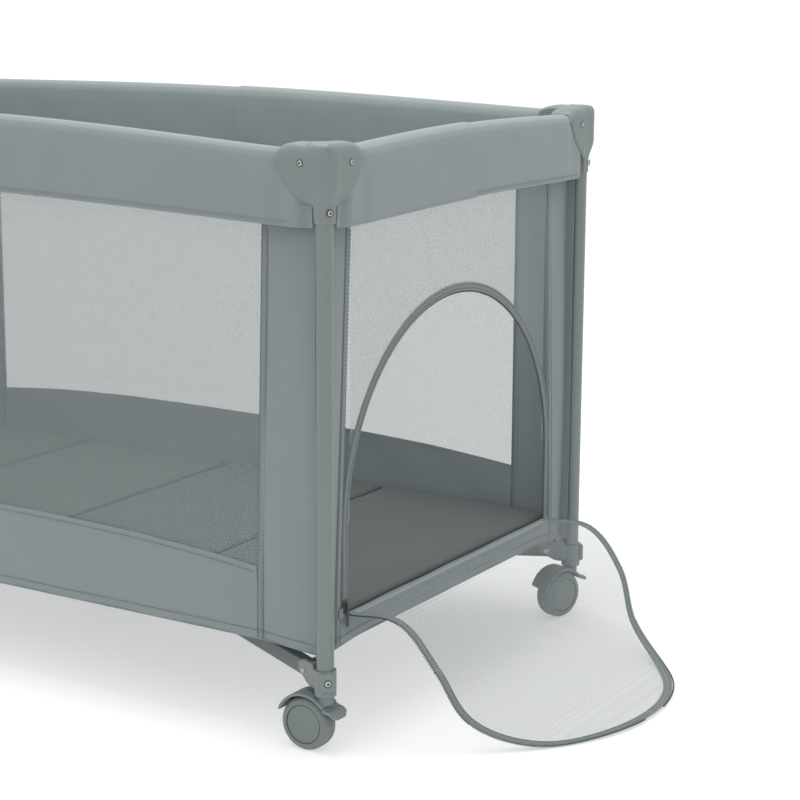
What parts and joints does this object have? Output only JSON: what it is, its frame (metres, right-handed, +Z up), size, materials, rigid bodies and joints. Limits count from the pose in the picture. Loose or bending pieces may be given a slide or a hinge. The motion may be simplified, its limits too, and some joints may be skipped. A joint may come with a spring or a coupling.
{
  "type": "travel playpen",
  "caption": "Folding travel playpen with fabric and mesh walls, an arched zipped door hanging open at one end, folding mat and two casters.",
  "frame": {"origin": "middle of the centre foot's flat sole, on the ground under the middle of the pen", "axes": "+X along the pen towards the end with the door, +Y across it towards the back long side, +Z up"},
  "size_m": [1.5172, 0.7094, 0.76],
  "materials": {
    "fabric": "grey polyester weave, matt",
    "mat_fabric": "darker grey polyester over foam, matt",
    "mesh": "knitted see-through mesh and grey weave",
    "tube": "grey powder coat, satin",
    "plastic": "grey moulding, fine texture",
    "rubber": "grey, smooth",
    "metal": "plated, satin"
  },
  "bodies": {
    "corner_front_door": {"post_front_door": "tube", "cap_front_door": "plastic", "foot_bracket_front_door": "plastic", "wall_front": "mesh", "wall_door": "mesh"},
    "corner_back_door": {"post_back_door": "tube", "cap_back_door": "plastic", "foot_bracket_back_door": "plastic", "wall_back": "mesh"},
    "corner_front_plain": {"post_front_plain": "tube", "cap_front_plain": "plastic", "foot_bracket_front_plain": "plastic", "wall_plain": "mesh", "fixed_foot_front": "plastic"},
    "corner_back_plain": {"post_back_plain": "tube", "cap_back_plain": "plastic", "foot_bracket_back_plain": "plastic", "fixed_foot_back": "plastic"},
    "strut_front_door": {"strut_front_door": "tube"},
    "strut_back_door": {"strut_back_door": "tube"},
    "strut_front_plain": {"strut_front_plain": "tube"},
    "strut_back_plain": {"strut_back_plain": "tube"},
    "hub": {"centre_hub": "plastic", "centre_foot_pad": "rubber", "hub_pull_strap": "fabric", "floor_sheet": "fabric"},
    "top_rail_front_door": {"top_rail_front_door": "tube", "top_band_front": "fabric"},
    "rail_lock_front": {"rail_lock_front": "plastic"},
    "top_rail_front_plain": {"top_rail_front_plain": "tube"},
    "top_rail_back_door": {"top_rail_back_door": "tube", "top_band_back": "fabric"},
    "rail_lock_back": {"rail_lock_back": "plastic"},
    "top_rail_back_plain": {"top_rail_back_plain": "tube"},
    "top_rail_door_front": {"top_rail_door_front": "tube", "top_band_door": "fabric"},
    "rail_lock_door": {"rail_lock_door": "plastic"},
    "top_rail_door_back": {"top_rail_door_back": "tube"},
    "top_rail_plain_front": {"top_rail_plain_front": "tube", "top_band_plain": "fabric"},
    "rail_lock_plain": {"rail_lock_plain": "plastic"},
    "top_rail_plain_back": {"top_rail_plain_back": "tube"},
    "mat_pad_1": {"mat_pad_1": "mat_fabric"},
    "mat_pad_2": {"mat_pad_2": "mat_fabric"},
    "mat_pad_3": {"mat_pad_3": "mat_fabric"},
    "mat_pad_4": {"mat_pad_4": "mat_fabric"},
    "door_flap_1": {"door_flap_1": "mesh"},
    "door_flap_2": {"door_flap_2": "mesh"},
    "door_flap_3": {"door_flap_3": "mesh"},
    "door_flap_4": {"door_flap_4": "mesh"},
    "door_flap_5": {"door_flap_5": "mesh"},
    "zip_slider": {"zip_slider": "metal"},
    "zip_pull": {"zip_pull": "metal"},
    "caster_front": {"caster_hood_front": "plastic"},
    "caster_wheel_front": {"caster_wheel_front": "rubber"},
    "brake_pedal_front": {"brake_pedal_front": "plastic"},
    "caster_back": {"caster_hood_back": "plastic"},
    "caster_wheel_back": {"caster_wheel_back": "rubber"},
    "brake_pedal_back": {"brake_pedal_back": "plastic"}
  },
  "joints": [
    {"name": "fold", "type": "hinge", "parent": "corner_front_door", "child": "strut_front_door", "pos_m": [0.56787, -0.31376, 0.098], "axis": [0.4511, 0.8925, 0], "range_deg": [0, 84], "deforming": ["wall_front", "wall_back", "wall_door", "wall_plain", "floor_sheet", "top_band_front", "top_band_back", "top_band_door", "top_band_plain", "mat_pad_1", "mat_pad_2", "mat_pad_3", "mat_pad_4"]},
    {"name": "hub_level", "type": "hinge", "parent": "strut_front_door", "child": "hub", "pos_m": [0.02187, -0.03776, 0.098], "axis": [0.4511, 0.8925, 0], "range_deg": [-85, 1]},
    {"name": "strut_back_door_fold", "type": "hinge", "parent": "hub", "child": "strut_back_door", "pos_m": [0.02187, 0.03776, 0.098], "axis": [-0.4511, 0.8925, 0], "range_deg": [-1, 85]},
    {"name": "corner_back_door_level", "type": "hinge", "parent": "strut_back_door", "child": "corner_back_door", "pos_m": [0.56787, 0.31376, 0.098], "axis": [-0.4511, 0.8925, 0], "range_deg": [-85, 1]},
    {"name": "strut_front_plain_fold", "type": "hinge", "parent": "hub", "child": "strut_front_plain", "pos_m": [-0.02187, -0.03776, 0.098], "axis": [0.4511, -0.8925, 0], "range_deg": [-1, 85]},
    {"name": "corner_front_plain_level", "type": "hinge", "parent": "strut_front_plain", "child": "corner_front_plain", "pos_m": [-0.56787, -0.31376, 0.098], "axis": [0.4511, -0.8925, 0], "range_deg": [-85, 1]},
    {"name": "strut_back_plain_fold", "type": "hinge", "parent": "hub", "child": "strut_back_plain", "pos_m": [-0.02187, 0.03776, 0.098], "axis": [-0.4511, -0.8925, 0], "range_deg": [-1, 85]},
    {"name": "corner_back_plain_level", "type": "hinge", "parent": "strut_back_plain", "child": "corner_back_plain", "pos_m": [-0.56787, 0.31376, 0.098], "axis": [-0.4511, -0.8925, 0], "range_deg": [-85, 1]},
    {"name": "top_rail_front_door_fold", "type": "hinge", "parent": "corner_front_door", "child": "top_rail_front_door", "pos_m": [0.568, -0.33, 0.737], "axis": [0, -1, 0], "range_deg": [-1, 85]},
    {"name": "rail_lock_front_level", "type": "hinge", "parent": "top_rail_front_door", "child": "rail_lock_front", "pos_m": [0.022, -0.33, 0.737], "axis": [0, -1, 0], "range_deg": [-85, 1]},
    {"name": "top_rail_front_plain_fold", "type": "hinge", "parent": "corner_front_plain", "child": "top_rail_front_plain", "pos_m": [-0.568, -0.33, 0.737], "axis": [0, 1, 0], "range_deg": [-1, 85]},
    {"name": "top_rail_back_door_fold", "type": "hinge", "parent": "corner_back_door", "child": "top_rail_back_door", "pos_m": [0.568, 0.33, 0.737], "axis": [0, -1, 0], "range_deg": [-1, 85]},
    {"name": "rail_lock_back_level", "type": "hinge", "parent": "top_rail_back_door", "child": "rail_lock_back", "pos_m": [0.022, 0.33, 0.737], "axis": [0, -1, 0], "range_deg": [-85, 1]},
    {"name": "top_rail_back_plain_fold", "type": "hinge", "parent": "corner_back_plain", "child": "top_rail_back_plain", "pos_m": [-0.568, 0.33, 0.737], "axis": [0, 1, 0], "range_deg": [-1, 85]},
    {"name": "top_rail_door_front_fold", "type": "hinge", "parent": "corner_front_door", "child": "top_rail_door_front", "pos_m": [0.6, -0.298, 0.737], "axis": [-1, 0, 0], "range_deg": [-1, 85]},
    {"name": "rail_lock_door_level", "type": "hinge", "parent": "top_rail_door_front", "child": "rail_lock_door", "pos_m": [0.6, -0.022, 0.737], "axis": [-1, 0, 0], "range_deg": [-85, 1]},
    {"name": "top_rail_door_back_fold", "type": "hinge", "parent": "corner_back_door", "child": "top_rail_door_back", "pos_m": [0.6, 0.298, 0.737], "axis": [1, 0, 0], "range_deg": [-1, 85]},
    {"name": "top_rail_plain_front_fold", "type": "hinge", "parent": "corner_front_plain", "child": "top_rail_plain_front", "pos_m": [-0.6, -0.298, 0.737], "axis": [-1, 0, 0], "range_deg": [-1, 85]},
    {"name": "rail_lock_plain_level", "type": "hinge", "parent": "top_rail_plain_front", "child": "rail_lock_plain", "pos_m": [-0.6, -0.022, 0.737], "axis": [-1, 0, 0], "range_deg": [-85, 1]},
    {"name": "top_rail_plain_back_fold", "type": "hinge", "parent": "corner_back_plain", "child": "top_rail_plain_back", "pos_m": [-0.6, 0.298, 0.737], "axis": [1, 0, 0], "range_deg": [-1, 85]},
    {"name": "mat_tip", "type": "hinge", "parent": "corner_front_door", "child": "mat_pad_1", "pos_m": [0.4335, -0.29575, 0.07925], "axis": [1, 0, 0], "range_deg": [-1, 91]},
    {"name": "mat_fold_1", "type": "hinge", "parent": "mat_pad_1", "child": "mat_pad_2", "pos_m": [0.289, 0, 0.1365], "axis": [0, -1, 0], "range_deg": [-1, 91]},
    {"name": "mat_fold_2", "type": "hinge", "parent": "mat_pad_2", "child": "mat_pad_3", "pos_m": [0, 0, 0.1365], "axis": [0, -1, 0], "range_deg": [-1, 91]},
    {"name": "mat_fold_3", "type": "hinge", "parent": "mat_pad_3", "child": "mat_pad_4", "pos_m": [-0.289, 0, 0.1365], "axis": [0, -1, 0], "range_deg": [-1, 181]},
    {"name": "door_flap", "type": "hinge", "parent": "corner_front_door", "child": "door_flap_1", "pos_m": [0.5905, 0, 0.159], "axis": [0, -1, 0], "range_deg": [0, 90], "deforming": ["door_flap_1", "door_flap_2", "door_flap_3", "door_flap_4", "door_flap_5"]},
    {"name": "door_flap_bend_1", "type": "hinge", "parent": "door_flap_1", "child": "door_flap_2", "pos_m": [0.6659, 0, 0.159], "axis": [0, -1, 0], "range_deg": [-1, 47]},
    {"name": "door_flap_bend_2", "type": "hinge", "parent": "door_flap_2", "child": "door_flap_3", "pos_m": [0.71828, 0, 0.10476], "axis": [0, -1, 0], "range_deg": [-1, 17]},
    {"name": "door_flap_bend_3", "type": "hinge", "parent": "door_flap_3", "child": "door_flap_4", "pos_m": [0.75368, 0, 0.03819], "axis": [0, -1, 0], "range_deg": [-37, 1]},
    {"name": "door_flap_bend_4", "type": "hinge", "parent": "door_flap_4", "child": "door_flap_5", "pos_m": [0.82144, 0, 0.00513], "axis": [0, -1, 0], "range_deg": [-27, 1]},
    {"name": "zip_slider", "type": "slide", "parent": "corner_front_door", "child": "zip_slider", "axis": [0, 0, 1], "range_m": [0, 0.1]},
    {"name": "zip_pull", "type": "hinge", "parent": "zip_slider", "child": "zip_pull", "pos_m": [0.594, -0.27, 0.175], "axis": [0, -1, 0], "range_deg": [0, 120]},
    {"name": "caster_swivel_front", "type": "hinge", "parent": "corner_front_door", "child": "caster_front", "pos_m": [0.6, -0.33, 0.0738], "axis": [0, 0, 1], "continuous": true},
    {"name": "caster_wheel_front", "type": "hinge", "parent": "caster_front", "child": "caster_wheel_front", "pos_m": [0.575, -0.33, 0.0345], "axis": [0, -1, 0], "continuous": true},
    {"name": "brake_pedal_front", "type": "hinge", "parent": "caster_front", "child": "brake_pedal_front", "pos_m": [0.60598, -0.33, 0.05819], "axis": [0, 1, 0], "range_deg": [0, 12]},
    {"name": "caster_swivel_back", "type": "hinge", "parent": "corner_back_door", "child": "caster_back", "pos_m": [0.6, 0.33, 0.0738], "axis": [0, 0, 1], "continuous": true},
    {"name": "caster_wheel_back", "type": "hinge", "parent": "caster_back", "child": "caster_wheel_back", "pos_m": [0.59227, 0.30622, 0.0345], "axis": [0.9511, -0.309, 0], "continuous": true},
    {"name": "brake_pedal_back", "type": "hinge", "parent": "caster_back", "child": "brake_pedal_back", "pos_m": [0.60185, 0.33569, 0.05819], "axis": [-0.9511, 0.309, 0], "range_deg": [0, 12]}
  ],
  "couplings": [
    {"joint": "hub_level", "follows": "fold", "ratio": -1},
    {"joint": "strut_back_door_fold", "follows": "fold", "ratio": 1},
    {"joint": "corner_back_door_level", "follows": "fold", "ratio": -1},
    {"joint": "strut_front_plain_fold", "follows": "fold", "ratio": 1},
    {"joint": "corner_front_plain_level", "follows": "fold", "ratio": -1},
    {"joint": "strut_back_plain_fold", "follows": "fold", "ratio": 1},
    {"joint": "corner_back_plain_level", "follows": "fold", "ratio": -1},
    {"joint": "top_rail_front_door_fold", "follows": "fold", "ratio": 1},
    {"joint": "rail_lock_front_level", "follows": "fold", "ratio": -1},
    {"joint": "top_rail_front_plain_fold", "follows": "fold", "ratio": 1},
    {"joint": "top_rail_back_door_fold", "follows": "fold", "ratio": 1},
    {"joint": "rail_lock_back_level", "follows": "fold", "ratio": -1},
    {"joint": "top_rail_back_plain_fold", "follows": "fold", "ratio": 1},
    {"joint": "top_rail_door_front_fold", "follows": "fold", "ratio": 1},
    {"joint": "rail_lock_door_level", "follows": "fold", "ratio": -1},
    {"joint": "top_rail_door_back_fold", "follows": "fold", "ratio": 1},
    {"joint": "top_rail_plain_front_fold", "follows": "fold", "ratio": 1},
    {"joint": "rail_lock_plain_level", "follows": "fold", "ratio": -1},
    {"joint": "top_rail_plain_back_fold", "follows": "fold", "ratio": 1},
    {"joint": "mat_tip", "follows": "fold", "ratio": 1.0714},
    {"joint": "mat_fold_1", "follows": "fold", "ratio": 1.0714},
    {"joint": "mat_fold_2", "follows": "fold", "ratio": 1.0714},
    {"joint": "mat_fold_3", "follows": "fold", "ratio": 2.1429},
    {"joint": "door_flap_bend_1", "follows": "door_flap", "ratio": 0.51111},
    {"joint": "door_flap_bend_2", "follows": "door_flap", "ratio": 0.17778},
    {"joint": "door_flap_bend_3", "follows": "door_flap", "ratio": -0.4},
    {"joint": "door_flap_bend_4", "follows": "door_flap", "ratio": -0.28889}
  ]
}
